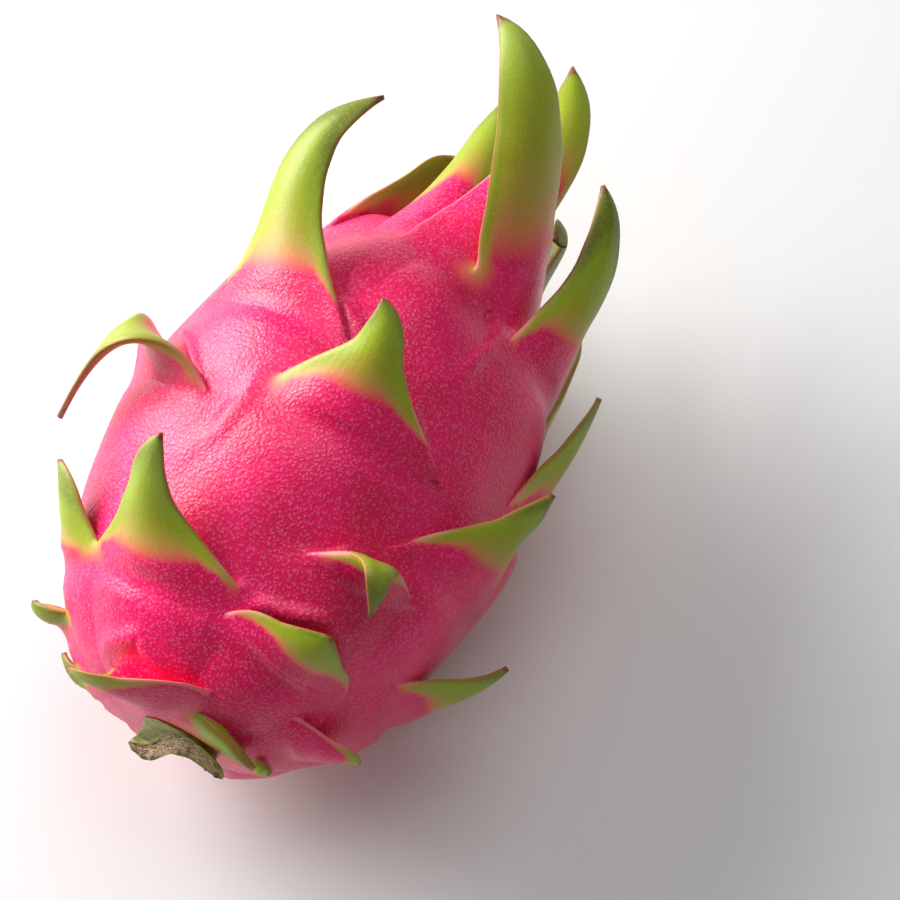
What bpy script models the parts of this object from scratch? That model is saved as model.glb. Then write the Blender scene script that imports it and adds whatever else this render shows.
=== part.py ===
"""A whole dragon fruit, lying on its side on a small flat spot of its skin.

Metres, +Z up. +X runs along the fruit from the cut stem to the crown. The origin is the middle of
the flat spot. Two pieces: the fruit with its fleshy scales, and the stub of cactus stem at its base.
"""

import math
from collections import namedtuple

import bmesh
import bpy
from mathutils import Matrix, Vector
from mathutils.geometry import interpolate_bezier

MM = 0.001

# The fruit's body, in millimetres
BODY_LENGTH = 130.0
BODY_RADIUS = 43.0
EGG = 0.09  # how much fuller the stem half is than the crown half
PINCH_STATION = 98.0  # past here the body draws in to the crown
PINCH = 0.36
PRESSED = 1.2  # depth of skin that is pressed flat where the fruit rests
AXIS_HEIGHT = BODY_RADIUS - PRESSED
STEM_END = -60.0  # the body's stem end along X, which puts the weight over the flat spot
BODY_COLUMNS = 52
BODY_ROWS = 36
SEAT_STATION = 3.0  # the body is cut flat here, and the stub sits on it
NAVEL_RADIUS = 11.0
NAVEL_DEPTH = 7.0

# The swelling of the skin that carries each scale
SWELL_HEIGHT = 2.6
SWELL_REACH = 24.0  # how far it runs down towards the stem
SWELL_FALL = 7.0  # how soon it ends past the scale's root

# A scale's section, in millimetres
SECTION_SIDES = 12
RING_SPACING = 4.0  # of a scale's bend
FEWEST_RINGS = 5
MOST_RINGS = 9
ROOT_SINK = 0.8
RUN_LIFT = 0.8
ROOT_THICKNESS = 2.4
SHOULDER_THICKNESS = 5.0
BLADE_THICKNESS = 3.2
TIP_THICKNESS = 1.3
SHOULDER = 0.18  # shares of a scale's length
MIDDLE = 0.5
FLARE_END = 0.65
CUP = 0.22  # how far a blade's edges bend towards the fruit, as a share of its half width
LIP_HEIGHT = 1.3  # how far the margins stand up where they run down into the skin
LIP_WIDTH = 3.5

# The stub of cactus stem
STUB_SIDES = 28
STUB_RINGS = 4
STUB_HEIGHT = 3.1
STUB_BASE_RADIUS = 8.5
STUB_SIDE = -2.3  # how far it sits off the fruit's axis, along Y and upwards
STUB_RISE = 3.0
STUB_WING = 13.4  # half the length of its thin winged end
STUB_WING_THICKNESS = 1.5  # half of it
STUB_WAVE = 2.8
STUB_CREST = -0.25  # how far the wave's crest is off the middle, as a share of the wing
STUB_SLANT = 0.5  # slope of the cut, which leaves the stub's upper side shorter
STUB_TILT = math.radians(-30)
GAP = 0.3

# One scale. station is its root's place along the body from the stem end, and around is its angle
# in degrees round the body, from the top towards +Y. root and blade are its widths, and with a higher
# flare it narrows sooner from one to the other. It follows the skin for its run, then bends. bend
# pulls its curve, and tip is where it ends, both from its root: towards the crown, round the fruit,
# and off the skin. twist turns its face, in degrees. A higher fullness keeps it wide for longer. With
# skew, its side towards +Y starts that much nearer to the stem, and its other side as much further
# from it. All lengths are in millimetres.
Scale = namedtuple(
    "Scale", "name station around root flare blade run bend tip twist fullness skew", defaults=(0,)
)

SCALES = (
    Scale("stem_left_low", 4, 96, 24, 1.5, 9, 5, (8, -2, 4), (13, -2, 2), 0, 3),
    Scale("stem_left", 3, 8, 32, 1.0, 18, 6, (13, 8, 10), (12, 17, 8), 0, 2),
    Scale("stem_flap", 4, -30, 17, 1.5, 7, 4, (5, -8, 5), (4, -11, 4), 0, 3),
    Scale("stem_right_small", 4, -74, 20, 1.5, 8, 4, (5, 3, 4), (7, 2, 3), 0, 3),
    Scale("stem_right", 8, -66, 34, 1.3, 12, 6, (13, -3, 5), (16, -9, 4), 0, 3),
    Scale("low_front", 16, -32, 36, 0.8, 26, 8, (13, 0, 6), (19.5, -0.5, 6), 0, 1.8),
    Scale("low_left_small", 12, 88, 28, 1.5, 14, 6, (5, -5, 8), (9, -6, 7), 0, 3),
    Scale("low_left_edge", 20, 68, 34, 1.4, 13, 9, (17, -7, 4), (25, -4, 4), 0, 3),
    Scale("left_triangle", 19, 22, 50, 1.6, 14, 13, (26, 4, 9), (37, -1, 9), 0, 2.5),
    Scale("right_recurved", 39, -34, 34, 1.8, 9, 6, (12, 9, 24), (-2, -1, 13), 0, 3),
    Scale("left_drooping", 60, 50, 44, 1.6, 14, 10, (10, -18, 28), (-11, 22, 5), 0, 2.2),
    Scale("centre_triangle", 60, -6, 50, 1.1, 18, 12, (22, -5, 15), (29, 2, 17), 0, 2.5, 7),
    Scale("left_horn", 80, 30, 46, 2.8, 16, 17, (29, 10, 24), (50, -6, 18), 0, 2.5),
    Scale("crown_front", 106, -12, 28, 1.5, 16, 14, (37, -17, 24), (57, -4, 31), 0, 4),
    Scale("crown_tall", 107, -66, 28, 1.5, 19, 14, (21, 45, 34), (46, 48, 25), -70, 3),
    Scale("crown_right", 98, -74, 42, 1.8, 13, 12, (30, 4, 20), (46, 11, 14), -35, 4),
    Scale("crown_left", 112, 8, 23, 1.5, 12, 12, (33, -1, 14), (52, 6, 17), 0, 4),
    Scale("crown_far_left", 110, 92, 36, 1.6, 15, 10, (35, 4, 12), (37, -3, 10), -55, 3),
    Scale("crown_far_right", 110, -118, 34, 1.6, 12, 12, (28, -3, 30), (25, 5, 15), 0, 6),
    Scale("crown_inner", 118, 62, 16, 1.6, 9, 4, (7, -8, -4), (8, -5, 1), 0, 5),
    Scale("right_side", 70, -94, 42, 1.4, 14, 13, (27, 6, 6), (38, 6, 6), 0, 3),
    Scale("right_triangle", 48, -64, 44, 1.2, 14, 12, (22, 4, 9), (31, 5, 11), 0, 2.5),
    Scale("right_low", 24, -92, 38, 1.4, 14, 11, (22, 0, 7), (30, 3, 6), 0, 3),
    Scale("under_stem_left", 7, 160, 24, 1.4, 11, 5, (10, 0, 2), (14, 0, 2), 0, 3),
    Scale("under_stem_right", 10, -138, 26, 1.4, 12, 6, (11, 0, 2), (15, -1, 2), 0, 3),
    Scale("under_low_left", 26, 120, 36, 1.4, 14, 10, (20, 0, 4), (28, 2, 4), 0, 3),
    Scale("under_low_right", 32, -132, 36, 1.4, 14, 10, (20, 0, 3), (27, 0, 3), 0, 3),
    Scale("under_left", 54, 122, 38, 1.4, 14, 11, (22, 0, 4), (31, 3, 5), 0, 3),
    Scale("under_right", 60, -134, 38, 1.4, 14, 11, (21, 0, 3), (30, -3, 3), 0, 3),
    Scale("under_horn_left", 82, 130, 40, 1.5, 14, 14, (30, 0, 7), (43, 5, 8), 0, 3),
    Scale("under_horn_right", 84, -122, 40, 1.5, 14, 14, (30, 0, 8), (42, -4, 10), 0, 3),
    Scale("under_crown", 96, 176, 38, 1.5, 14, 13, (28, 0, 5), (42, 0, 6), 0, 3),
    Scale("crown_under_left", 108, 144, 34, 1.6, 12, 10, (25, 0, 10), (34, 0, 8), 0, 3),
    Scale("crown_under_right", 107, -154, 34, 1.6, 12, 10, (24, 0, 10), (36, 3, 9), 0, 3),
)


def smooth_step(share):
    share = min(1.0, max(0.0, share))
    return share * share * (3 - 2 * share)


def body_radius(station):
    """Radius of the bare egg-shaped body, station millimetres from its stem end."""
    place = 2 * station / BODY_LENGTH - 1
    egg = BODY_RADIUS * math.sqrt(max(0.0, 1 - place * place)) * (1 - EGG * place)
    past = (station - PINCH_STATION) / (BODY_LENGTH - PINCH_STATION)
    return egg * (1 - PINCH * smooth_step(past))


def body_point(station, around):
    """A point of the bare body. around is in radians, from the top towards +Y."""
    radius = body_radius(station)
    return Vector(
        (STEM_END + station, radius * math.sin(around), AXIS_HEIGHT + radius * math.cos(around))
    )


def body_axes(station, around):
    """At a place on the skin: towards the crown along it, round the fruit, and outwards."""
    step = 0.5
    crownward = body_point(station + step, around) - body_point(station - step, around)
    crownward.normalize()
    sideways = Vector((0, math.cos(around), -math.sin(around)))
    return crownward, sideways, crownward.cross(sideways).normalized()


def swelling(station, around):
    """How far the scales' roots raise the skin."""
    raised = 0.0
    for scale in SCALES:
        turn = (around - math.radians(scale.around) + math.pi) % (2 * math.pi) - math.pi
        across = turn * max(body_radius(scale.station), 8) / (0.55 * scale.root)
        if abs(across) >= 1:
            continue
        ahead = station - scale.station
        if ahead < 0:
            share = smooth_step(1 + ahead / min(SWELL_REACH, scale.root))
        else:
            share = smooth_step(1 - ahead / SWELL_FALL)
        raised = max(raised, SWELL_HEIGHT * share * (1 - across * across) ** 2)
    return raised


def skin_point(station, around):
    """A point of the skin, with the swellings under the scales and the navel at the crown."""
    point = body_point(station, around)
    _, _, outwards = body_axes(min(max(station, 1), BODY_LENGTH - 1), around)
    point += outwards * swelling(station, around)
    if station > BODY_LENGTH / 2:
        point.x -= NAVEL_DEPTH * smooth_step(1 - body_radius(station) / NAVEL_RADIUS)
    return point


def mesh_object(name, mesh_source, material):
    """The bmesh, in flat triangles and scaled to metres, as a smooth-shaded object."""
    bmesh.ops.triangulate(mesh_source, faces=mesh_source.faces)
    bmesh.ops.scale(mesh_source, vec=(MM, MM, MM), verts=mesh_source.verts)
    bmesh.ops.recalc_face_normals(mesh_source, faces=mesh_source.faces)
    mesh = bpy.data.meshes.new(name)
    mesh_source.to_mesh(mesh)
    mesh_source.free()
    mesh.shade_smooth()
    made = bpy.data.objects.new(name, mesh)
    bpy.context.scene.collection.objects.link(made)
    made.data.materials.append(material)
    return made


def plain_material(name, colour, roughness):
    material = bpy.data.materials.new(name)
    material.use_nodes = True
    shader = material.node_tree.nodes["Principled BSDF"]
    shader.inputs["Base Color"].default_value = (*colour, 1)
    shader.inputs["Roughness"].default_value = roughness
    shader.inputs["Metallic"].default_value = 0
    return material


def cut_flat(mesh_source, point, normal):
    """Takes away what lies past a plane, and closes the cut with one flat face."""
    whole = list(mesh_source.verts) + list(mesh_source.edges) + list(mesh_source.faces)
    cut = bmesh.ops.bisect_plane(
        mesh_source, geom=whole, plane_co=point, plane_no=normal, clear_outer=True
    )
    rim = [part for part in cut["geom_cut"] if isinstance(part, bmesh.types.BMEdge)]
    bmesh.ops.contextual_create(mesh_source, geom=rim)


def make_body(material):
    """A sphere with its poles at the stem and the crown, drawn out to the skin's form."""
    body = bmesh.new()
    bmesh.ops.create_uvsphere(body, u_segments=BODY_COLUMNS, v_segments=BODY_ROWS, radius=1)
    bmesh.ops.rotate(body, verts=body.verts, matrix=Matrix.Rotation(math.pi / 2, 3, "Y"))
    for vert in body.verts:
        station = BODY_LENGTH / 2 * (1 + vert.co.x)
        vert.co = skin_point(station, math.atan2(vert.co.y, vert.co.z))
    cut_flat(body, (STEM_END + SEAT_STATION, 0, 0), (-1, 0, 0))
    return mesh_object("fruit", body, material)


def scale_half_width(scale, share):
    """Half the width of a scale, share of the way from its root to its tip."""
    blade = scale.blade * (1 - share**scale.fullness) ** 0.75
    flare = (scale.root - scale.blade) * max(0.0, 1 - share / FLARE_END) ** scale.flare
    return (blade + flare) / 2


def scale_thickness(share):
    stops = (
        (0, ROOT_THICKNESS),
        (SHOULDER, SHOULDER_THICKNESS),
        (MIDDLE, BLADE_THICKNESS),
        (1, TIP_THICKNESS),
    )
    for (start, before), (end, after) in zip(stops, stops[1:]):
        if share <= end:
            return before + (after - before) * smooth_step((share - start) / (end - start))
    return TIP_THICKNESS


def scale_spine(scale, steps):
    """Places and axes along a scale: its middle, its width's direction and its outer face's."""
    around = math.radians(scale.around)
    crownward, sideways, outwards = body_axes(scale.station, around)
    root = body_point(scale.station, around)
    turned = Matrix((crownward, sideways, outwards)).transposed()
    knots = [root + turned @ Vector(knot) for knot in (
        (0, 0, -ROOT_SINK), (scale.run, 0, RUN_LIFT), scale.bend, scale.tip
    )]
    places = interpolate_bezier(*knots, steps + 1)
    stops = []
    face = outwards.copy()
    before = crownward
    for step, place in enumerate(places):
        share = step / steps
        ahead = places[min(step + 1, steps)]
        behind = places[max(step - 1, 0)]
        along = (ahead - behind).normalized()
        face.rotate(before.rotation_difference(along))
        before = along
        turn = Matrix.Rotation(math.radians(scale.twist) * share, 3, along)
        turned_face = turn @ face
        stops.append((share, place, turned_face.cross(along), turned_face))
    return stops


def section_point(scale, stop, turn):
    """A point of a scale's lens-shaped section, which wraps round the fruit at the root."""
    share, place, across, face = stop
    half = max(0.35, scale_half_width(scale, share))
    thick = scale_thickness(share)
    side = math.cos(turn)
    radius = max(body_radius(scale.station), body_radius(min(place.x - STEM_END, BODY_LENGTH)))
    wrap = half * half / (2 * radius)
    wrap += CUP * half * smooth_step(share / MIDDLE)
    height = thick / 2 * math.sin(turn) - wrap * side * side
    rooted = 1 - smooth_step(share / FLARE_END)
    height += LIP_HEIGHT * rooted * smooth_step(1 - (1 - abs(side)) * half / LIP_WIDTH)
    back = face.cross(across) * scale.skew * rooted * side
    return place + across * half * side + face * height + back


def make_scale(scale, material):
    """A ring of points at the root, drawn out ring by ring along the scale's spine to its tip."""
    blade = bmesh.new()
    rings = min(MOST_RINGS, max(FEWEST_RINGS, round(Vector(scale.bend).length / RING_SPACING)))
    stops = scale_spine(scale, rings)
    ring = bmesh.ops.create_circle(blade, cap_ends=True, segments=SECTION_SIDES, radius=1)["verts"]
    turns = [math.atan2(vert.co.y, vert.co.x) for vert in ring]
    for vert, turn in zip(ring, turns):
        vert.co = section_point(scale, stops[0], turn)
    face = blade.faces[:]
    for stop in stops[1:]:
        made = bmesh.ops.extrude_discrete_faces(blade, faces=face)["faces"]
        face = made
        ring = [loop.vert for loop in made[0].loops]
        for vert, turn in zip(ring, turns):
            vert.co = section_point(scale, stop, turn)
    bmesh.ops.holes_fill(blade, edges=blade.edges)
    return mesh_object("scale_" + scale.name, blade, material)


def fuse(target, pieces):
    """One Boolean union joins the scales to the body."""
    group = bpy.data.collections.new("scales")
    bpy.context.scene.collection.children.link(group)
    for piece in pieces:
        bpy.context.scene.collection.objects.unlink(piece)
        group.objects.link(piece)
    union = target.modifiers.new("scales", "BOOLEAN")
    union.operation = "UNION"
    union.operand_type = "COLLECTION"
    union.collection = group
    union.solver = "MANIFOLD"
    graph = bpy.context.evaluated_depsgraph_get()
    fused = bpy.data.meshes.new_from_object(target.evaluated_get(graph))
    target.modifiers.clear()
    target.data = fused
    for piece in pieces:
        bpy.data.objects.remove(piece)
    bpy.data.collections.remove(group)


def press_flat(target):
    """The small flat spot under the fruit, in the plane of the surface that it lies on."""
    fruit = bmesh.new()
    fruit.from_mesh(target.data)
    cut_flat(fruit, (0, 0, 0), (0, 0, -1))
    fruit.to_mesh(target.data)
    fruit.free()


def make_stub(material):
    """The stub: round where it meets the fruit, drawn out to a thin wavy wing at the cut."""
    stub = bmesh.new()
    ring = bmesh.ops.create_circle(stub, cap_ends=True, segments=STUB_SIDES, radius=1)["verts"]
    turns = [math.atan2(vert.co.y, vert.co.x) for vert in ring]
    base = STEM_END + SEAT_STATION - GAP
    face = stub.faces[:]
    for step in range(STUB_RINGS + 1):
        share = step / STUB_RINGS
        if step:
            face = bmesh.ops.extrude_discrete_faces(stub, faces=face)["faces"]
            ring = [loop.vert for loop in face[0].loops]
        spread = smooth_step(share)
        for vert, turn in zip(ring, turns):
            long_way = math.cos(turn) * (STUB_BASE_RADIUS * (1 - spread) + STUB_WING * spread)
            thin_way = STUB_BASE_RADIUS * (1 - spread) + STUB_WING_THICKNESS * spread
            short_way = math.sin(turn) * thin_way
            short_way += STUB_WAVE * spread * math.cos(math.pi * (STUB_CREST - long_way / STUB_WING))
            out = long_way * math.cos(STUB_TILT) - short_way * math.sin(STUB_TILT)
            up = long_way * math.sin(STUB_TILT) + short_way * math.cos(STUB_TILT)
            reach = STUB_HEIGHT * share - STUB_SLANT * short_way * share * share
            place = (base - reach, STUB_SIDE + out, AXIS_HEIGHT + STUB_RISE + up)
            vert.co = Vector(place)
    bmesh.ops.holes_fill(stub, edges=stub.edges)
    return mesh_object("stem_stub", stub, material)


def main():
    for old in list(bpy.data.objects):
        bpy.data.objects.remove(old)
    skin = plain_material("pink_skin", (0.78, 0.03, 0.16), 0.42)
    bark = plain_material("green_stem", (0.22, 0.24, 0.05), 0.6)
    fruit = make_body(skin)
    fuse(fruit, [make_scale(scale, skin) for scale in SCALES])
    press_flat(fruit)
    make_stub(bark)


main()
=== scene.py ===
"""The looks of a whole dragon fruit: its pebbled pink skin, the fleshy scales that turn yellow and
then green towards their tips, and the dry wavy stub of its stem.

Lengths are in millimetres until a mesh is finished, and in metres from then on.
"""

import math
from collections import namedtuple

import bmesh
import bpy
import numpy as np
from mathutils import Matrix, Vector, kdtree, noise
from mathutils.geometry import interpolate_bezier


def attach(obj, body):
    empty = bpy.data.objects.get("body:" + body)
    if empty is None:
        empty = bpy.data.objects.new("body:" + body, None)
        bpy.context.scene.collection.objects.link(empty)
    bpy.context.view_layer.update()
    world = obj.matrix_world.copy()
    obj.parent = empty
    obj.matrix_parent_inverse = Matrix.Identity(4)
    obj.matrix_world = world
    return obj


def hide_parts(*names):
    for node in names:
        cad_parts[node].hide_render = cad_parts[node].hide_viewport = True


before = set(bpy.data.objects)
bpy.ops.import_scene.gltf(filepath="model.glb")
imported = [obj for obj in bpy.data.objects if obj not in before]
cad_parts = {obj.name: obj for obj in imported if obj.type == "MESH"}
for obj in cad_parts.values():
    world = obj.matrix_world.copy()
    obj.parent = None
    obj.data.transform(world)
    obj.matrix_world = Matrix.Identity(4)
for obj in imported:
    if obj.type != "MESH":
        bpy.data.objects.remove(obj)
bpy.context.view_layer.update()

MM = 0.001

# The fruit's body
BODY_LENGTH = 130.0
BODY_RADIUS = 43.0
EGG = 0.09  # how much fuller the stem half is than the crown half
PINCH_STATION = 98.0  # past here the body draws in to the crown
PINCH = 0.36
PRESSED = 1.2  # depth of skin that is pressed flat where the fruit rests
AXIS_HEIGHT = BODY_RADIUS - PRESSED
STEM_END = -60.0
SEAT_STATION = 3.0  # the body is cut flat here, and the stub sits on it
NAVEL_RADIUS = 11.0
NAVEL_DEPTH = 7.0
BODY_COLUMNS = 260
BODY_ROWS = 196
CROWDING = 0.4  # how much closer the columns stand on the upper side than underneath

# The swelling of the skin that carries each scale
SWELL_HEIGHT = 2.6
SWELL_REACH = 24.0  # how far it runs down towards the stem
SWELL_FALL = 7.0  # how soon it ends past the scale's root
SWELL_WIDTH = 0.55  # half of its width, as a share of the root's
LEAST_RADIUS = 8.0  # the body counts as at least this thick near its ends

# A ridge of the skin runs on from a scale's margin. Its points are millimetres along the body and
# degrees round it, and it fades towards its last one.
Ridge = namedtuple("Ridge", "height width points")

RIDGES = (
    Ridge(0.8, 4.5, ((68, 17), (61, 19), (55, 21), (49, 26), (46, 33))),
    Ridge(1.0, 3.5, ((78, -23), (72, -30), (66, -36), (58, -40))),
    Ridge(
        1.5, 3.0,
        ((29, -5), (27.5, -11), (29.2, -22), (32.1, -32), (31, -40), (26, -48), (20, -57)),
    ),
    Ridge(1.4, 3.2, ((13.8, 20), (11.8, 34), (9.4, 47), (8, 60))),
    Ridge(1.2, 2.6, ((13.6, 21), (11.4, 13), (10.4, 6), (11.9, 2))),
    Ridge(1.3, 2.6, ((45.5, -32), (44.6, -27), (41.5, -23.5), (36, -20))),
    Ridge(1.2, 2.6, ((75, 55), (69.7, 44), (62.8, 33), (55, 27))),
    Ridge(1.0, 3.2, ((104.8, -48), (97.4, -38), (92.4, -35), (84, -30))),
    Ridge(0.8, 3.0, ((92, 10), (88, 2), (80, -4))),
)
RIDGE_STEPS = 30
RIDGE_RISE = 0.15  # shares of a ridge's length
RIDGE_FADE = 0.35
RIDGE_START = 0.4  # how far a ridge has risen at its first point, before smoothing
RIDGE_SHARPNESS = 1.3

# Unevenness of the skin: wave length and height
WAVES = ((26.0, 0.55), (9.0, 0.16))
NOISE_SEED = 7  # without one, the scales' ripples come out differently each time

# The scales
SECTION_SIDES = 36
RINGS = 36
ROOT_SINK = 0.8
RUN_LIFT = 0.8
ROOT_THICKNESS = 2.4
SHOULDER_THICKNESS = 5.0
BLADE_THICKNESS = 3.2
TIP_THICKNESS = 1.3
LEAST_HALF_WIDTH = 0.35
SHOULDER = 0.18  # shares of a scale's length
MIDDLE = 0.5
FLARE_END = 0.65
LIP_RISE = 0.12
FREE_START = 0.1  # from here the margins come free of the skin
FREE_RISE = 0.3
TIP_CALM = 0.2  # the last stretch, where the rim and the waves die away
CUP = 0.22  # how far a blade's edges bend towards the fruit, as a share of its half width
LIP_HEIGHT = 1.3  # how far the margins stand up where they run down into the skin
LIP_WIDTH = 3.5
RIM_HEIGHT = 0.35  # the raised rim along a blade's margins
RIM_WIDTH = 1.6
RIPPLE = 0.45  # how far the margins wave in and out, and up and down
RIPPLE_LENGTH = 9.0
RIPPLE_TALL = 1.5  # how much more they wave up and down than in and out

# Where the scales have grown out of the skin, their outer faces run on into it
PULL = 0.6  # how far one round draws a place towards its neighbours
BLEND_REACH = 4.0
BLEND_ROUNDS = 30
RIPE_REACH = 4.0
RIPE_ROUNDS = 40

# Points this close become one, and anything thinner than a sliver goes, in metres
MERGE_GAP = 0.00002
SLIVER = 0.00001

# The stub of cactus stem
STUB_SIDES = 96
STUB_RINGS = 16
STUB_HEIGHT = 3.1
STUB_BASE_RADIUS = 8.5
STUB_SIDE = -2.3  # how far it sits off the fruit's axis, along Y and upwards
STUB_RISE = 3.0
STUB_WING = 13.4  # half the length of its thin winged end
STUB_WING_THICKNESS = 1.5  # half of it
STUB_WAVE = 2.8
STUB_CREST = -0.25  # how far the wave's crest is off the middle, as a share of the wing
STUB_SLANT = 0.5  # slope of the cut, which leaves the stub's upper side shorter
STUB_TILT = math.radians(-30)
GAP = 0.3
CUT_SLANT = 0.7  # how much more the cut turns up across the stub's own thickness
CUT_RINGS = ((0.9, -0.15), (0.72, 0.35), (0.5, 0.1), (0.28, 0.4), (0.06, 0.2))  # size, sink
CUT_ROUGHNESS = 0.5

FRUIT_MIDDLE = Vector((5.0, 0.0, 42.0))

# The photograph: the camera's distance and angles, and where the fruit's middle is in it
CAMERA_DISTANCE = 900.0
CAMERA_ELEVATION = math.radians(72)
CAMERA_TURN = math.radians(-62.2)
MILLIMETRES_PER_PIXEL = 0.21
FRUIT_MIDDLE_PIXEL = (315.0, 482.0)
IMAGE_MIDDLE_PIXEL = 450.0
IMAGE_PIXELS = 900
SENSOR = 36.0
FLOOR_SIZE = 4000.0

# The skin's flecks: the size of one and its pebble, in millimetres, and how unevenly they sit
FLECK_SIZE = 0.72
FLECK_BEND = 0.9

# The studio: each light's name, its direction as right, up and towards the camera, its distance and
# size in metres, its watts and its colour
WORLD_STRENGTH = 0.21
LIGHTS = (
    ("key_light", (-0.78, 0.64, 0.2), 0.8, 0.7, 13.0, (1.0, 0.99, 0.98)),
    ("fill_light", (0.1, 0.6, 0.8), 1.2, 0.8, 3.4, (1.0, 1.0, 1.0)),
)

# One scale. station is its root's place along the body from the stem end, and around is its angle
# in degrees round the body, from the top towards +Y. root and blade are its widths, and with a higher
# flare it narrows sooner from one to the other. It follows the skin for its run, then bends. bend
# pulls its curve, and tip is where it ends, both from its root: towards the crown, round the fruit,
# and off the skin. twist turns its face, in degrees. A higher fullness keeps it wide for longer. With
# skew, its side towards +Y starts that much nearer to the stem, and its other side as much further
# from it. All lengths are in millimetres.
Scale = namedtuple(
    "Scale", "name station around root flare blade run bend tip twist fullness skew", defaults=(0,)
)

SCALES = (
    Scale("stem_left_low", 4, 96, 24, 1.5, 9, 5, (8, -2, 4), (13, -2, 2), 0, 3),
    Scale("stem_left", 3, 8, 32, 1.0, 18, 6, (13, 8, 10), (12, 17, 8), 0, 2),
    Scale("stem_flap", 4, -30, 17, 1.5, 7, 4, (5, -8, 5), (4, -11, 4), 0, 3),
    Scale("stem_right_small", 4, -74, 20, 1.5, 8, 4, (5, 3, 4), (7, 2, 3), 0, 3),
    Scale("stem_right", 8, -66, 34, 1.3, 12, 6, (13, -3, 5), (16, -9, 4), 0, 3),
    Scale("low_front", 16, -32, 36, 0.8, 26, 8, (13, 0, 6), (19.5, -0.5, 6), 0, 1.8),
    Scale("low_left_small", 12, 88, 28, 1.5, 14, 6, (5, -5, 8), (9, -6, 7), 0, 3),
    Scale("low_left_edge", 20, 68, 34, 1.4, 13, 9, (17, -7, 4), (25, -4, 4), 0, 3),
    Scale("left_triangle", 19, 22, 50, 1.6, 14, 13, (26, 4, 9), (37, -1, 9), 0, 2.5),
    Scale("right_recurved", 39, -34, 34, 1.8, 9, 6, (12, 9, 24), (-2, -1, 13), 0, 3),
    Scale("left_drooping", 60, 50, 44, 1.6, 14, 10, (10, -18, 28), (-11, 22, 5), 0, 2.2),
    Scale("centre_triangle", 60, -6, 50, 1.4, 15, 12, (22, -5, 15), (29, 2, 17), 0, 2.5, 7),
    Scale("left_horn", 80, 30, 46, 2.8, 16, 17, (29, 10, 24), (50, -6, 18), 0, 2.5),
    Scale("crown_front", 106, -12, 28, 1.5, 16, 14, (37, -17, 24), (57, -4, 31), 0, 4),
    Scale("crown_tall", 107, -66, 28, 1.5, 19, 14, (21, 45, 34), (46, 48, 25), -70, 3),
    Scale("crown_right", 98, -74, 42, 1.8, 13, 12, (30, 4, 20), (46, 11, 14), -35, 4),
    Scale("crown_left", 112, 8, 23, 1.5, 12, 12, (33, -1, 14), (52, 6, 17), 0, 4),
    Scale("crown_far_left", 110, 92, 36, 1.6, 15, 10, (35, 4, 12), (37, -3, 10), -55, 3),
    Scale("crown_far_right", 110, -118, 34, 1.6, 12, 12, (28, -3, 30), (25, 5, 15), 0, 6),
    Scale("crown_inner", 118, 62, 16, 1.6, 9, 4, (7, -8, -4), (8, -5, 1), 0, 5),
    Scale("right_side", 70, -94, 42, 1.4, 14, 13, (27, 6, 6), (38, 6, 6), 0, 3),
    Scale("right_triangle", 48, -64, 44, 1.2, 14, 12, (22, 4, 9), (31, 5, 11), 0, 2.5),
    Scale("right_low", 24, -92, 38, 1.4, 14, 11, (22, 0, 7), (30, 3, 6), 0, 3),
    Scale("under_stem_left", 7, 160, 24, 1.4, 11, 5, (10, 0, 2), (14, 0, 2), 0, 3),
    Scale("under_stem_right", 10, -138, 26, 1.4, 12, 6, (11, 0, 2), (15, -1, 2), 0, 3),
    Scale("under_low_left", 26, 120, 36, 1.4, 14, 10, (20, 0, 4), (28, 2, 4), 0, 3),
    Scale("under_low_right", 32, -132, 36, 1.4, 14, 10, (20, 0, 3), (27, 0, 3), 0, 3),
    Scale("under_left", 54, 122, 38, 1.4, 14, 11, (22, 0, 4), (31, 3, 5), 0, 3),
    Scale("under_right", 60, -134, 38, 1.4, 14, 11, (21, 0, 3), (30, -3, 3), 0, 3),
    Scale("under_horn_left", 82, 130, 40, 1.5, 14, 14, (30, 0, 7), (43, 5, 8), 0, 3),
    Scale("under_horn_right", 84, -122, 40, 1.5, 14, 14, (30, 0, 8), (42, -4, 10), 0, 3),
    Scale("under_crown", 96, 176, 38, 1.5, 14, 13, (28, 0, 5), (42, 0, 6), 0, 3),
    Scale("crown_under_left", 108, 144, 34, 1.6, 12, 10, (25, 0, 10), (34, 0, 8), 0, 3),
    Scale("crown_under_right", 107, -154, 34, 1.6, 12, 10, (24, 0, 10), (36, 3, 9), 0, 3),
)


def smooth_step(share):
    share = np.clip(share, 0, 1)
    return share * share * (3 - 2 * share)


def body_radius(station):
    """Radius of the bare egg-shaped body, station millimetres from its stem end."""
    place = 2 * station / BODY_LENGTH - 1
    egg = BODY_RADIUS * np.sqrt(np.maximum(0, 1 - place * place)) * (1 - EGG * place)
    past = (station - PINCH_STATION) / (BODY_LENGTH - PINCH_STATION)
    return egg * (1 - PINCH * smooth_step(past))


def body_point(station, around):
    """Points of the bare body. around is in radians, from the top towards +Y."""
    radius = body_radius(station)
    return np.stack(
        (STEM_END + station, radius * np.sin(around), AXIS_HEIGHT + radius * np.cos(around)), axis=-1
    )


def body_axes(station, around):
    """At places on the skin: towards the crown along it, round the fruit, and outwards."""
    step = 0.5
    crownward = body_point(station + step, around) - body_point(station - step, around)
    crownward /= np.linalg.norm(crownward, axis=-1, keepdims=True)
    sideways = np.stack((0 * around, np.cos(around), -np.sin(around)), axis=-1)
    return crownward, sideways, np.cross(crownward, sideways)


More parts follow.
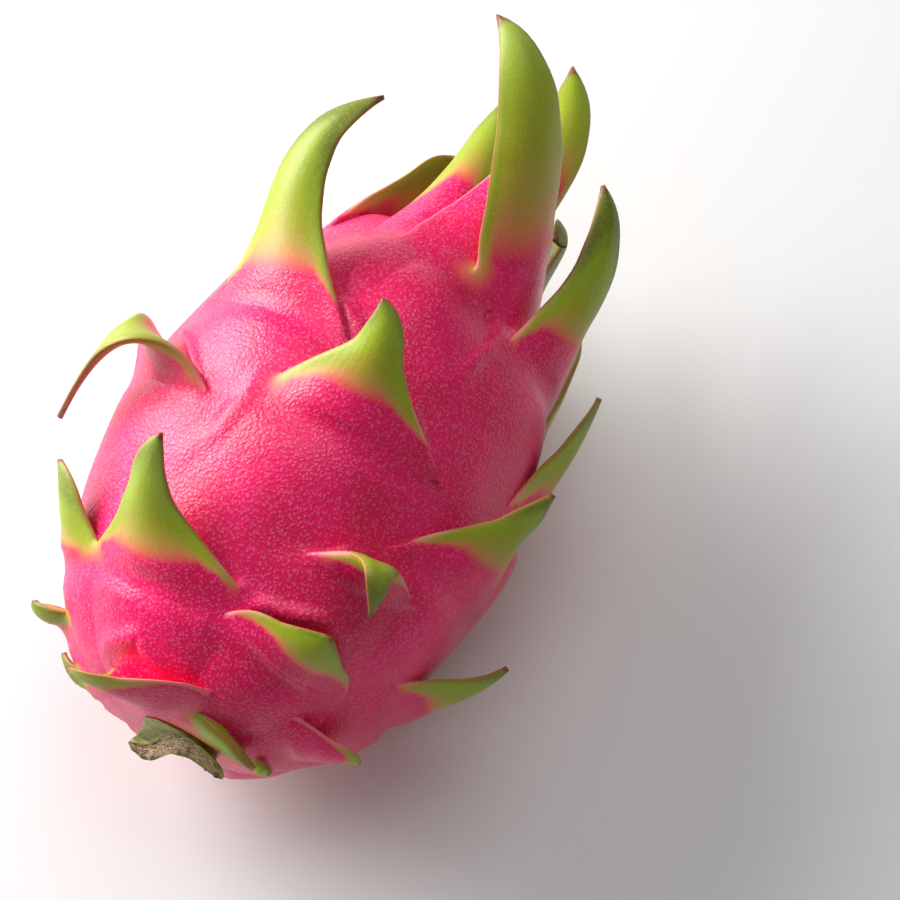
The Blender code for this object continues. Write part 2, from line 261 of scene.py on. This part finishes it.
def swelling(station, around):
    """How far the scales' roots raise the skin."""
    raised = np.zeros_like(station)
    for scale in SCALES:
        turn = (around - math.radians(scale.around) + math.pi) % (2 * math.pi) - math.pi
        across = turn * max(body_radius(scale.station), LEAST_RADIUS) / (SWELL_WIDTH * scale.root)
        ahead = station - scale.station
        before = smooth_step(1 + ahead / min(SWELL_REACH, scale.root))
        past = smooth_step(1 - ahead / SWELL_FALL)
        share = np.where(ahead < 0, before, past)
        crest = np.clip(1 - across * across, 0, 1) ** 2
        raised = np.maximum(raised, SWELL_HEIGHT * share * crest)
    return raised


def ridge_line(ridge):
    """Evenly spread places along a ridge, and how tall it still is at each."""
    stations, turns = np.array(ridge.points).T
    corners = np.linspace(0, 1, len(stations))
    steps = np.linspace(0, 1, RIDGE_STEPS)
    fade = 1 - smooth_step((steps - RIDGE_FADE) / (1 - RIDGE_FADE))
    fade *= smooth_step(RIDGE_START + steps / RIDGE_RISE)
    return np.interp(steps, corners, stations), np.radians(np.interp(steps, corners, turns)), fade


def ridges(station, around):
    """How far the ridges raise the skin."""
    raised = np.zeros_like(station)
    for ridge in RIDGES:
        for place, angle, fade in zip(*ridge_line(ridge)):
            turn = (around - angle + math.pi) % (2 * math.pi) - math.pi
            gap = np.hypot(station - place, turn * body_radius(place)) / ridge.width
            crest = (1 - smooth_step(gap)) ** RIDGE_SHARPNESS
            raised = np.maximum(raised, ridge.height * fade * crest)
    return raised


def skin_point(station, around):
    """Points of the skin, with its swellings and ridges and the navel at the crown."""
    points = body_point(station, around)
    outwards = body_axes(np.clip(station, 1, BODY_LENGTH - 1), around)[2]
    points += outwards * swelling(station, around)[:, None]
    points += outwards * ridges(station, around)[:, None]
    navel = NAVEL_DEPTH * smooth_step(1 - body_radius(station) / NAVEL_RADIUS)
    points[:, 0] -= np.where(station > BODY_LENGTH / 2, navel, 0)
    for number, point in enumerate(points):
        lift = sum(tall * noise.noise(Vector(point) / long) for long, tall in WAVES)
        point += outwards[number] * lift
    return points


def mesh_object(name, mesh_source, material):
    """The bmesh, in flat triangles and scaled to metres, as a smooth-shaded object."""
    bmesh.ops.triangulate(mesh_source, faces=mesh_source.faces)
    bmesh.ops.scale(mesh_source, vec=(MM, MM, MM), verts=mesh_source.verts)
    bmesh.ops.recalc_face_normals(mesh_source, faces=mesh_source.faces)
    mesh = bpy.data.meshes.new(name)
    mesh_source.to_mesh(mesh)
    mesh_source.free()
    mesh.shade_smooth()
    made = bpy.data.objects.new(name, mesh)
    bpy.context.scene.collection.objects.link(made)
    made.data.materials.append(material)
    return made


def cut_flat(mesh_source, point, normal):
    """Takes away what lies past a plane, and closes the cut with one flat face."""
    whole = list(mesh_source.verts) + list(mesh_source.edges) + list(mesh_source.faces)
    cut = bmesh.ops.bisect_plane(
        mesh_source, geom=whole, plane_co=point, plane_no=normal, clear_outer=True
    )
    rim = [part for part in cut["geom_cut"] if isinstance(part, bmesh.types.BMEdge)]
    bmesh.ops.contextual_create(mesh_source, geom=rim)


def make_body(material):
    """A sphere with its poles at the stem and the crown, drawn out to the skin's form."""
    body = bmesh.new()
    bmesh.ops.create_uvsphere(body, u_segments=BODY_COLUMNS, v_segments=BODY_ROWS, radius=1)
    bmesh.ops.rotate(body, verts=body.verts, matrix=Matrix.Rotation(math.pi / 2, 3, "Y"))
    balls = np.array([vert.co for vert in body.verts])
    stations = BODY_LENGTH / 2 * (1 + balls[:, 0])
    turns = np.arctan2(balls[:, 1], balls[:, 2])
    turns -= CROWDING * np.sin(turns)
    places = skin_point(stations, turns)
    for vert, place in zip(body.verts, places):
        vert.co = place
    cut_flat(body, (STEM_END + SEAT_STATION, 0, 0), (-1, 0, 0))
    return mesh_object("dragon_fruit", body, material)


def scale_half_width(scale, share):
    """Half the width of a scale, share of the way from its root to its tip."""
    blade = scale.blade * (1 - share**scale.fullness) ** 0.75
    flare = (scale.root - scale.blade) * max(0.0, 1 - share / FLARE_END) ** scale.flare
    return (blade + flare) / 2


def scale_thickness(share):
    stops = (
        (0, ROOT_THICKNESS),
        (SHOULDER, SHOULDER_THICKNESS),
        (MIDDLE, BLADE_THICKNESS),
        (1, TIP_THICKNESS),
    )
    for (start, before), (end, after) in zip(stops, stops[1:]):
        if share <= end:
            return before + (after - before) * smooth_step((share - start) / (end - start))
    return TIP_THICKNESS


def scale_spine(scale, steps):
    """Places and axes along a scale: its middle, its width's direction and its outer face's."""
    around = math.radians(scale.around)
    axes = body_axes(np.float64(scale.station), np.float64(around))
    crownward, sideways, outwards = (Vector(axis) for axis in axes)
    root = Vector(body_point(np.float64(scale.station), np.float64(around)))
    turned = Matrix((crownward, sideways, outwards)).transposed()
    knots = [root + turned @ Vector(knot) for knot in (
        (0, 0, -ROOT_SINK), (scale.run, 0, RUN_LIFT), scale.bend, scale.tip
    )]
    places = interpolate_bezier(*knots, steps + 1)
    stops = []
    face = outwards.copy()
    before = crownward
    walked = 0.0
    for step, place in enumerate(places):
        share = step / steps
        ahead = places[min(step + 1, steps)]
        behind = places[max(step - 1, 0)]
        walked += (place - places[max(step - 1, 0)]).length
        along = (ahead - behind).normalized()
        face.rotate(before.rotation_difference(along))
        before = along
        turn = Matrix.Rotation(math.radians(scale.twist) * share, 3, along)
        turned_face = turn @ face
        stops.append((share, place, turned_face.cross(along), turned_face, walked))
    return stops


def section_point(scale, stop, turn):
    """A point of a scale's lens-shaped section, which wraps round the fruit at the root."""
    share, place, across, face, walked = stop
    half = max(LEAST_HALF_WIDTH, scale_half_width(scale, share))
    thick = scale_thickness(share)
    side = math.cos(turn)
    radius = max(body_radius(scale.station), body_radius(min(place.x - STEM_END, BODY_LENGTH)))
    wrap = half * half / (2 * radius)
    wrap += CUP * half * smooth_step(share / MIDDLE)
    height = thick / 2 * math.sin(turn) - wrap * side * side
    rooted = 1 - smooth_step(share / FLARE_END)
    inset = (1 - abs(side)) * half
    height += LIP_HEIGHT * rooted * smooth_step(share / LIP_RISE) * smooth_step(1 - inset / LIP_WIDTH)
    free = smooth_step((share - FREE_START) / FREE_RISE) * smooth_step((1 - share) / TIP_CALM)
    height += RIM_HEIGHT * free * smooth_step(1 - inset / RIM_WIDTH)
    back = face.cross(across) * (scale.skew * rooted * side)
    spot = Vector((walked / RIPPLE_LENGTH, math.copysign(3, side), SCALES.index(scale)))
    waves = noise.noise_vector(spot) * (RIPPLE * free * side * side)
    level = height + RIPPLE_TALL * waves.y
    return place + across * (half * side + waves.x) + face * level + back


# The colours of a scale: the shares of its length where its pink first turns and where it is deep
# green, how wide its ripe margins are, in millimetres, and how far a painted sheen whitens its riper
# parts, a share below nought darkening them instead
Finish = namedtuple("Finish", "turns green rim pale", defaults=(0.34, 1.05, 3.5, 0.2))

FINISHES = {
    "stem_left_low": Finish(0.15, 0.9, 4, 0.1),
    "stem_left": Finish(0.62, 1.3, 2, 0.3),
    "stem_flap": Finish(-0.1, 1.1, 4, -0.2),
    "stem_right_small": Finish(0.5, 1.2, 1, -0.3),
    "stem_right": Finish(0.75, 1.3, 1, -0.4),
    "low_front": Finish(0.48, 1.15, 3, 0.1),
    "low_left_small": Finish(0.35, 1.1, 3, 0.2),
    "low_left_edge": Finish(0.28, 0.8, 5, 0.4),
    "left_triangle": Finish(0.25, 1.0, 4, 0.5),
    "right_recurved": Finish(0.42, 0.95, 2.5, 0.1),
    "left_drooping": Finish(0.40, 0.95, 3, 0.3),
    "centre_triangle": Finish(0.36, 1.2, 4.5, 0.2),
    "left_horn": Finish(0.22, 0.95, 3.5, 0.0),
    "crown_front": Finish(0.6, 1.1, 0.6, 0),
    "crown_tall": Finish(0.33, 1.3, 1.5, 0.8),
    "crown_right": Finish(0.33, 0.85, 2.5, -0.1),
    "crown_left": Finish(0.5, 1.15, 3, 0.1),
    "crown_far_left": Finish(0.42, 1.2, 4, 0.1),
    "crown_far_right": Finish(-0.2, 0.5, 3, 0),
    "crown_inner": Finish(2.0, 3.0, 1, 0),
}

# A scale's ripe margins: how ripe they are, their width at the root in millimetres, and the shares
# of its length by which they are at full colour and full width
RIM_RIPENESS = 0.35
RIM_ROOT_WIDTH = 0.5
RIM_COLOURED = 0.3
RIM_WIDENED = 0.45
MARGIN_WIDTH = 0.9  # the thin line along a blade's edge

MARKS = ("ripe", "margin", "inner", "tip", "soft", "pale", "kind")


def mark_point(vert, layers, grain, scale, stop, turn):
    """What the skin's colours need to know of a point of a scale."""
    share, walked = stop[0], stop[4]
    finish = FINISHES.get(scale.name, Finish())
    side = math.cos(turn)
    outer = math.sin(turn)
    half = scale_half_width(scale, share)
    inset = (1 - abs(side)) * half
    along = (share - finish.turns) / (finish.green - finish.turns)
    rim_width = RIM_ROOT_WIDTH + finish.rim * smooth_step(share / RIM_WIDENED)
    rim = max(0.0, 1 - inset / rim_width)
    rim *= RIM_RIPENESS * smooth_step(share / RIM_COLOURED)
    values = {
        "ripe": max(0.0, along + rim),
        "margin": smooth_step(1 - inset / MARGIN_WIDTH) * smooth_step((share - 0.08) / 0.2),
        "inner": smooth_step((0.15 - outer) / 0.3),
        "tip": share,
        "soft": smooth_step((outer + 0.15) / 0.5),
        "pale": finish.pale,
        "kind": 1 + SCALES.index(scale),
    }
    for name, layer in zip(MARKS, layers):
        vert[layer] = values[name]
    vert[grain] = (side * half, walked, 0)


def make_scale(scale, material):
    """A ring of points at the root, drawn out ring by ring along the scale's spine to its tip."""
    blade = bmesh.new()
    layers = [blade.verts.layers.float.new(name) for name in MARKS]
    grain = blade.verts.layers.float_vector.new("grain")
    stops = scale_spine(scale, RINGS)
    ring = bmesh.ops.create_circle(blade, cap_ends=True, segments=SECTION_SIDES, radius=1)["verts"]
    turns = [math.atan2(vert.co.y, vert.co.x) for vert in ring]
    face = blade.faces[:]
    for stop in stops:
        if stop is not stops[0]:
            face = bmesh.ops.extrude_discrete_faces(blade, faces=face)["faces"]
            ring = [loop.vert for loop in face[0].loops]
        for vert, turn in zip(ring, turns):
            vert.co = section_point(scale, stop, turn)
            mark_point(vert, layers, grain, scale, stop, turn)
    bmesh.ops.holes_fill(blade, edges=blade.edges)
    return mesh_object("scale_" + scale.name, blade, material)


def fuse(target, pieces):
    """One Boolean union joins the scales to the body."""
    group = bpy.data.collections.new("scales")
    bpy.context.scene.collection.children.link(group)
    for piece in pieces:
        bpy.context.scene.collection.objects.unlink(piece)
        group.objects.link(piece)
    union = target.modifiers.new("scales", "BOOLEAN")
    union.operation = "UNION"
    union.operand_type = "COLLECTION"
    union.collection = group
    union.solver = "MANIFOLD"
    graph = bpy.context.evaluated_depsgraph_get()
    fused = bpy.data.meshes.new_from_object(target.evaluated_get(graph))
    target.modifiers.clear()
    target.data = fused
    for piece in pieces:
        bpy.data.objects.remove(piece)
    bpy.data.collections.remove(group)


def read_values(mesh, name):
    values = np.zeros(len(mesh.vertices), np.float32)
    mesh.attributes[name].data.foreach_get("value", values)
    return values


def spread_out(values, share, edges, rounds):
    """Draws each vertex's values towards its neighbours', by its share, over and over."""
    count = len(values)
    first, second = edges.reshape(-1, 2).T
    neighbours = np.bincount(first, minlength=count) + np.bincount(second, minlength=count)
    spread = values.astype(float)
    for _ in range(rounds):
        pull = np.stack([
            np.bincount(first, column[second], count) + np.bincount(second, column[first], count)
            for column in spread.T
        ], axis=1)
        spread += share[:, None] * PULL * (pull / neighbours[:, None] - spread)
    return spread


def grow_together(target):
    """Smooths the skin and its ripeness where the scales' outer faces meet it."""
    mesh = target.data
    count = len(mesh.vertices)
    places = np.zeros(count * 3)
    mesh.vertices.foreach_get("co", places)
    places = places.reshape(-1, 3)
    edges = np.zeros(len(mesh.edges) * 2, int)
    mesh.edges.foreach_get("vertices", edges)
    first, second = edges.reshape(-1, 2).T
    kind = read_values(mesh, "kind").round()
    soft = read_values(mesh, "soft")
    mixed = kind[first] != kind[second]
    ends = np.concatenate((first[mixed], second[mixed]))
    softest = np.maximum(soft[first[mixed]], soft[second[mixed]])
    seam = kdtree.KDTree(len(ends))
    for number, end in enumerate(ends):
        seam.insert(places[end], number)
    seam.balance()
    ends_soft = np.concatenate((softest, softest))
    found = [seam.find(place) for place in places]
    gaps = np.array([gap for _, _, gap in found]) / MM
    nearest_soft = ends_soft[[number for _, number, _ in found]]
    near_seam = nearest_soft * (1 - smooth_step(gaps / BLEND_REACH))
    places = spread_out(places, near_seam, edges, BLEND_ROUNDS)
    near_colour = nearest_soft * (1 - smooth_step(gaps / RIPE_REACH))
    ripe = spread_out(read_values(mesh, "ripe")[:, None], near_colour, edges, RIPE_ROUNDS)
    mesh.vertices.foreach_set("co", places.ravel())
    mesh.attributes["ripe"].data.foreach_set("value", ripe[:, 0].astype(np.float32))
    mesh.update()


def finish_mesh(target):
    """Makes the small flat spot, in the plane that the fruit lies on."""
    fruit = bmesh.new()
    fruit.from_mesh(target.data)
    cut_flat(fruit, (0, 0, 0), (0, 0, -1))
    fruit.to_mesh(target.data)
    fruit.free()
    target.data.shade_smooth()


def merge_slivers(target):
    """Merges points that the union left close together, and drops slivers."""
    fruit = bmesh.new()
    fruit.from_mesh(target.data)
    bmesh.ops.remove_doubles(fruit, verts=fruit.verts, dist=MERGE_GAP)
    bmesh.ops.dissolve_degenerate(fruit, edges=fruit.edges, dist=SLIVER)
    bmesh.ops.triangulate(fruit, faces=fruit.faces)
    fruit.to_mesh(target.data)
    fruit.free()


def make_stub(material):
    """The stub: round where it meets the fruit, drawn out to a thin wavy wing with a fibrous cut."""
    stub = bmesh.new()
    cut = stub.verts.layers.float.new("cut")
    fibre = stub.verts.layers.float_vector.new("fibre")
    ring = bmesh.ops.create_circle(stub, cap_ends=True, segments=STUB_SIDES, radius=1)["verts"]
    turns = [math.atan2(vert.co.y, vert.co.x) for vert in ring]
    base = STEM_END + SEAT_STATION - GAP
    sides = [(step / STUB_RINGS, 1.0, 0.0) for step in range(STUB_RINGS + 1)]
    face = stub.faces[:]
    for number, (share, size, sink) in enumerate(sides + [(1.0, *stop) for stop in CUT_RINGS]):
        if number:
            face = bmesh.ops.extrude_discrete_faces(stub, faces=face)["faces"]
            ring = [loop.vert for loop in face[0].loops]
        spread = smooth_step(share)
        for vert, turn in zip(ring, turns):
            round_part = STUB_BASE_RADIUS * (1 - spread)
            wing = STUB_WING - STUB_WING_THICKNESS * (1 - size)
            long_way = math.cos(turn) * (round_part + wing * spread)
            thin = math.sin(turn) * (round_part + STUB_WING_THICKNESS * size * spread)
            wave = STUB_WAVE * spread * math.cos(math.pi * (STUB_CREST - long_way / STUB_WING))
            short_way = thin + wave
            out = long_way * math.cos(STUB_TILT) - short_way * math.sin(STUB_TILT)
            up = long_way * math.sin(STUB_TILT) + short_way * math.cos(STUB_TILT)
            reach = STUB_HEIGHT * share - STUB_SLANT * short_way * share * share
            reach -= CUT_SLANT * thin * spread * share**4
            place = Vector((base - reach + sink, STUB_SIDE + out, AXIS_HEIGHT + STUB_RISE + up))
            if number > STUB_RINGS:
                place.x += CUT_ROUGHNESS * noise.noise(Vector((long_way * 0.9, size * 6, 0)))
            vert.co = place
            vert[cut] = max(0, number - STUB_RINGS)
            vert[fibre] = (long_way, thin, reach)
    bmesh.ops.holes_fill(stub, edges=stub.edges)
    return mesh_object("dry_stub", stub, material)


def add(tree, kind, inputs=(), **settings):
    """A new node. inputs gives each socket a plain value, or another node's output."""
    made = tree.nodes.new(kind)
    for name, value in settings.items():
        setattr(made, name, value)
    for name, value in dict(inputs).items():
        socket = made.inputs[name]
        if isinstance(value, bpy.types.NodeSocket):
            tree.links.new(value, socket)
        else:
            socket.default_value = value
    return made


def maths(tree, operation, first, second):
    return add(tree, "ShaderNodeMath", {0: first, 1: second}, operation=operation).outputs[0]


def between(tree, value, low, high):
    """0 where value is at low, 1 where it is at high, smoothly between them."""
    ends = {0: value, 1: low, 2: high}
    return add(tree, "ShaderNodeMapRange", ends, interpolation_type="SMOOTHSTEP").outputs[0]


def mix_colour(tree, share, first, second):
    made = add(tree, "ShaderNodeMix", {0: share, 6: first, 7: second}, data_type="RGBA")
    return made.outputs[2]


def mix_value(tree, share, first, second):
    made = add(tree, "ShaderNodeMix", {0: share, 2: first, 3: second}, data_type="FLOAT")
    return made.outputs[0]


def mark(tree, name, output="Fac"):
    return add(tree, "ShaderNodeAttribute", attribute_name=name).outputs[output]


def ramp(tree, value, stops):
    made = add(tree, "ShaderNodeValToRGB", {0: value})
    band = made.color_ramp
    while len(band.elements) < len(stops):
        band.elements.new(0.5)
    for element, (place, colour) in zip(band.elements, stops):
        element.position = place
        element.color = (*colour, 1)
    return made.outputs[0]


def scaled_place(tree, sizes):
    """Object coordinates, counted in sizes millimetres."""
    place = add(tree, "ShaderNodeTexCoord").outputs["Object"]
    scale = [1 / (MM * size) for size in sizes]
    return add(tree, "ShaderNodeMapping", {"Vector": place, "Scale": scale}).outputs[0]


def plain_shader(name):
    material = bpy.data.materials.new(name)
    material.use_nodes = True
    return material, material.node_tree, material.node_tree.nodes["Principled BSDF"]


def flecks_group():
    """The skin's fine pale flecks and pebbles: a mask for their colour and a height for relief."""
    group = bpy.data.node_groups.new("skin_flecks", "ShaderNodeTree")
    group.interface.new_socket("Size", in_out="INPUT", socket_type="NodeSocketFloat")
    group.interface.new_socket("Mask", in_out="OUTPUT", socket_type="NodeSocketFloat")
    group.interface.new_socket("Height", in_out="OUTPUT", socket_type="NodeSocketFloat")
    source = group.nodes.new("NodeGroupInput")
    target = group.nodes.new("NodeGroupOutput")
    place = scaled_place(group, (1, 1, 1))
    fine = maths(group, "DIVIDE", 1.0, source.outputs["Size"])
    turned = add(
        group, "ShaderNodeTexNoise", {"Vector": place, "Scale": maths(group, "MULTIPLY", fine, 0.7)}
    ).outputs["Color"]
    bend = (FLECK_BEND, FLECK_BEND, FLECK_BEND)
    bent = add(
        group, "ShaderNodeVectorMath", {0: turned, 1: bend, 2: place}, operation="MULTIPLY_ADD"
    )
    cells = add(
        group, "ShaderNodeTexVoronoi", {"Vector": bent.outputs[0], "Scale": fine}, feature="F1"
    ).outputs["Distance"]
    dots = maths(group, "SUBTRACT", 1.0, between(group, cells, 0.2, 0.46))
    group.links.new(dots, target.inputs["Mask"])
    group.links.new(maths(group, "SUBTRACT", 1.0, cells), target.inputs["Height"])
    return group


# Colours of the skin and of the scales, as linear red, green, blue and cover
DEEP_PINK = (0.74, 0.001, 0.086, 1)
BRIGHT_PINK = (0.90, 0.002, 0.135, 1)
# Painted sheen: the whitish green that a scale's riper parts are whitened towards
SHEEN_WHITISH_GREEN = (0.48, 0.60, 0.12, 1)
INNER_OLIVE = (0.24, 0.24, 0.02, 1)
PINK_FLECK = (1.0, 0.26, 0.44, 1)
GREEN_FLECK = (0.62, 0.66, 0.14, 1)
# The pale pink of a margin line where the scale is still pink: partly its own paler colour, partly a
# painted highlight on the raised edge
PINK_EDGE_HIGHLIGHT = (0.86, 0.24, 0.24, 1)
BROWN_EDGE = (0.40, 0.16, 0.03, 1)
DRY_TIP = (0.22, 0.075, 0.02, 1)

# From pink through yellow to green: the ripeness of each stop, and its colour
RIPE_COLOURS = (
    (0.0, (0.86, 0.004, 0.10)),
    (0.05, (0.82, 0.09, 0.09)),
    (0.11, (0.64, 0.26, 0.06)),
    (0.19, (0.46, 0.36, 0.035)),
    (0.30, (0.37, 0.385, 0.012)),
    (0.48, (0.32, 0.41, 0.008)),
    (0.72, (0.29, 0.39, 0.005)),
    (1.0, (0.15, 0.19, 0.001)),
)

# The stub's olive rind and its dry cut, from dark to pale
RIND_COLOURS = (
    (0.30, (0.075, 0.065, 0.010)),
    (0.45, (0.20, 0.21, 0.025)),
    (0.60, (0.33, 0.30, 0.06)),
    (0.75, (0.52, 0.42, 0.20)),
)
CUT_COLOURS = (
    (0.32, (0.07, 0.03, 0.012)),
    (0.45, (0.33, 0.20, 0.10)),
    (0.60, (0.62, 0.46, 0.28)),
    (0.78, (0.82, 0.70, 0.50)),
)


def fruit_material():
    material, tree, shader = plain_shader("pink_skin")
    millimetres = scaled_place(tree, (1, 1, 1))
    ripe = mark(tree, "ripe")
    margin = mark(tree, "margin")
    inner = mark(tree, "inner")
    tip = mark(tree, "tip")
    pale = mark(tree, "pale")
    grain = mark(tree, "grain", "Vector")
    flecks = add(tree, "ShaderNodeGroup", node_tree=flecks_group())
    flecks.inputs["Size"].default_value = FLECK_SIZE

    blotch = add(
        tree, "ShaderNodeTexNoise", {"Vector": millimetres, "Scale": 0.06, "Detail": 3}
    ).outputs[0]
    skin = mix_colour(tree, between(tree, blotch, 0.35, 0.65), DEEP_PINK, BRIGHT_PINK)

    lengthways = add(tree, "ShaderNodeMapping", {"Vector": grain, "Scale": (1.3, 0.16, 1)}).outputs[0]
    fibres = add(
        tree, "ShaderNodeTexNoise", {"Vector": lengthways, "Scale": 1.0, "Detail": 3}
    ).outputs[0]
    uneven = maths(tree, "MULTIPLY", maths(tree, "SUBTRACT", fibres, 0.5), 0.14)
    ripeness = maths(tree, "ADD", ripe, maths(tree, "MULTIPLY", uneven, between(tree, ripe, 0, 0.25)))
    flesh = ramp(tree, ripeness, RIPE_COLOURS)
    # Painted sheen: riper parts are mixed towards a whitish green, as far as the scale's pale share
    # says
    painted_sheen = maths(tree, "MULTIPLY", between(tree, ripe, 0.3, 0.9), pale)
    flesh = mix_colour(tree, maths(tree, "MULTIPLY", painted_sheen, 0.6), flesh, SHEEN_WHITISH_GREEN)
    greened = between(tree, ripe, 0.1, 0.4)
    olive = maths(tree, "MULTIPLY", maths(tree, "MULTIPLY", inner, greened), 0.35)
    flesh = mix_colour(tree, olive, flesh, INNER_OLIVE)
    green = between(tree, ripe, 0.0, 0.05)
    colour = mix_colour(tree, green, skin, flesh)
    lighter = mix_colour(tree, greened, PINK_FLECK, GREEN_FLECK)
    fleck = maths(tree, "MULTIPLY", flecks.outputs["Mask"], mix_value(tree, green, 0.34, 0.16))
    colour = mix_colour(tree, fleck, colour, lighter)
    # The margin line: brown where ripe, and where still pink a pale pink that is partly a painted
    # highlight on the raised edge
    rind = mix_colour(tree, between(tree, ripe, 0.25, 0.55), PINK_EDGE_HIGHLIGHT, BROWN_EDGE)
    edge = maths(tree, "MULTIPLY", between(tree, margin, 0.45, 0.95), 0.75)
    colour = mix_colour(tree, edge, colour, rind)
    brown = between(tree, maths(tree, "ADD", tip, maths(tree, "MULTIPLY", uneven, 0.1)), 0.955, 0.985)
    colour = mix_colour(tree, brown, colour, DRY_TIP)
    tree.links.new(colour, shader.inputs["Base Color"])

    rough = mix_value(tree, flecks.outputs["Mask"], 0.37, 0.24)
    tree.links.new(mix_value(tree, green, rough, 0.45), shader.inputs["Roughness"])
    shader.inputs["Specular IOR Level"].default_value = 0.5

    relief = mix_value(tree, green, flecks.outputs["Height"], maths(tree, "MULTIPLY", fibres, 0.5))
    bump = add(
        tree, "ShaderNodeBump", {"Height": relief, "Strength": 0.55, "Distance": 0.0002}
    ).outputs[0]
    tree.links.new(bump, shader.inputs["Normal"])
    return material


def stub_material():
    material, tree, shader = plain_shader("green_stem")
    fibre = mark(tree, "fibre", "Vector")
    cut = between(tree, mark(tree, "cut"), 1.0, 2.2)
    along = add(tree, "ShaderNodeMapping", {"Vector": fibre, "Scale": (0.25, 0.9, 0.9)}).outputs[0]
    rind_noise = add(
        tree, "ShaderNodeTexNoise", {"Vector": along, "Scale": 1.0, "Detail": 4, "Distortion": 0.8}
    ).outputs[0]
    rind = ramp(tree, rind_noise, RIND_COLOURS)
    strands = add(tree, "ShaderNodeMapping", {"Vector": fibre, "Scale": (0.7, 3.5, 3.5)}).outputs[0]
    weave = add(
        tree, "ShaderNodeTexNoise", {"Vector": strands, "Scale": 1.0, "Detail": 4, "Distortion": 1.5}
    ).outputs[0]
    dry = ramp(tree, weave, CUT_COLOURS)
    tree.links.new(mix_colour(tree, cut, rind, dry), shader.inputs["Base Color"])
    tree.links.new(mix_value(tree, cut, 0.42, 0.85), shader.inputs["Roughness"])
    height = mix_value(tree, cut, maths(tree, "MULTIPLY", rind_noise, 0.5), weave)
    bump = add(
        tree, "ShaderNodeBump", {"Height": height, "Strength": 0.8, "Distance": 0.0008}
    ).outputs[0]
    tree.links.new(bump, shader.inputs["Normal"])
    return material


def camera_axes():
    """The photograph's right, up and forward directions."""
    forward = Vector((
        -math.sin(CAMERA_TURN) * math.cos(CAMERA_ELEVATION),
        math.cos(CAMERA_TURN) * math.cos(CAMERA_ELEVATION),
        -math.sin(CAMERA_ELEVATION),
    ))
    right = Vector((math.cos(CAMERA_TURN), math.sin(CAMERA_TURN), 0))
    return right, right.cross(forward), forward


def make_camera():
    right, up, forward = camera_axes()
    aside = (FRUIT_MIDDLE_PIXEL[0] - IMAGE_MIDDLE_PIXEL) * MILLIMETRES_PER_PIXEL
    below = (FRUIT_MIDDLE_PIXEL[1] - IMAGE_MIDDLE_PIXEL) * MILLIMETRES_PER_PIXEL
    place = FRUIT_MIDDLE - right * aside + up * below - forward * CAMERA_DISTANCE
    data = bpy.data.cameras.new("camera")
    data.sensor_width = SENSOR
    data.lens = SENSOR * CAMERA_DISTANCE / (IMAGE_PIXELS * MILLIMETRES_PER_PIXEL)
    data.clip_start = 0.01
    data.clip_end = 20
    camera = bpy.data.objects.new("camera", data)
    camera.location = place * MM
    camera.rotation_euler = Matrix((right, up, -forward)).transposed().to_euler()
    bpy.context.scene.collection.objects.link(camera)
    bpy.context.scene.camera = camera


def area_light(name, direction, distance, size, watts, colour):
    """A soft light that shines on the fruit from a direction given as right, up and towards us."""
    right, up, forward = camera_axes()
    way = (right * direction[0] + up * direction[1] - forward * direction[2]).normalized()
    data = bpy.data.lights.new(name, "AREA")
    data.shape = "DISK"
    data.size = size
    data.energy = watts
    data.color = colour
    light = bpy.data.objects.new(name, data)
    light.location = FRUIT_MIDDLE * MM + way * distance
    light.rotation_euler = way.to_track_quat("Z", "Y").to_euler()
    bpy.context.scene.collection.objects.link(light)


def make_studio():
    world = bpy.data.worlds.new("studio")
    world.use_nodes = True
    background = world.node_tree.nodes["Background"]
    background.inputs["Color"].default_value = (1.0, 1.0, 1.0, 1)
    background.inputs["Strength"].default_value = WORLD_STRENGTH
    bpy.context.scene.world = world
    for light in LIGHTS:
        area_light(*light)
    material, tree, shader = plain_shader("pale_floor")
    shader.inputs["Base Color"].default_value = (0.93, 0.93, 0.93, 1)
    shader.inputs["Roughness"].default_value = 0.8
    ground = bmesh.new()
    bmesh.ops.create_grid(ground, x_segments=1, y_segments=1, size=FLOOR_SIZE)
    floor = mesh_object("floor", ground, material)
    bpy.context.scene.view_settings.view_transform = "Standard"


def main():
    noise.seed_set(NOISE_SEED)
    skin = fruit_material()
    fruit = make_body(skin)
    fuse(fruit, [make_scale(scale, skin) for scale in SCALES])
    merge_slivers(fruit)
    grow_together(fruit)
    finish_mesh(fruit)
    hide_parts("fruit")
    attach(fruit, "root")
    stub = make_stub(stub_material())
    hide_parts("stem_stub")
    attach(stub, "root")
    make_camera()
    make_studio()


main()
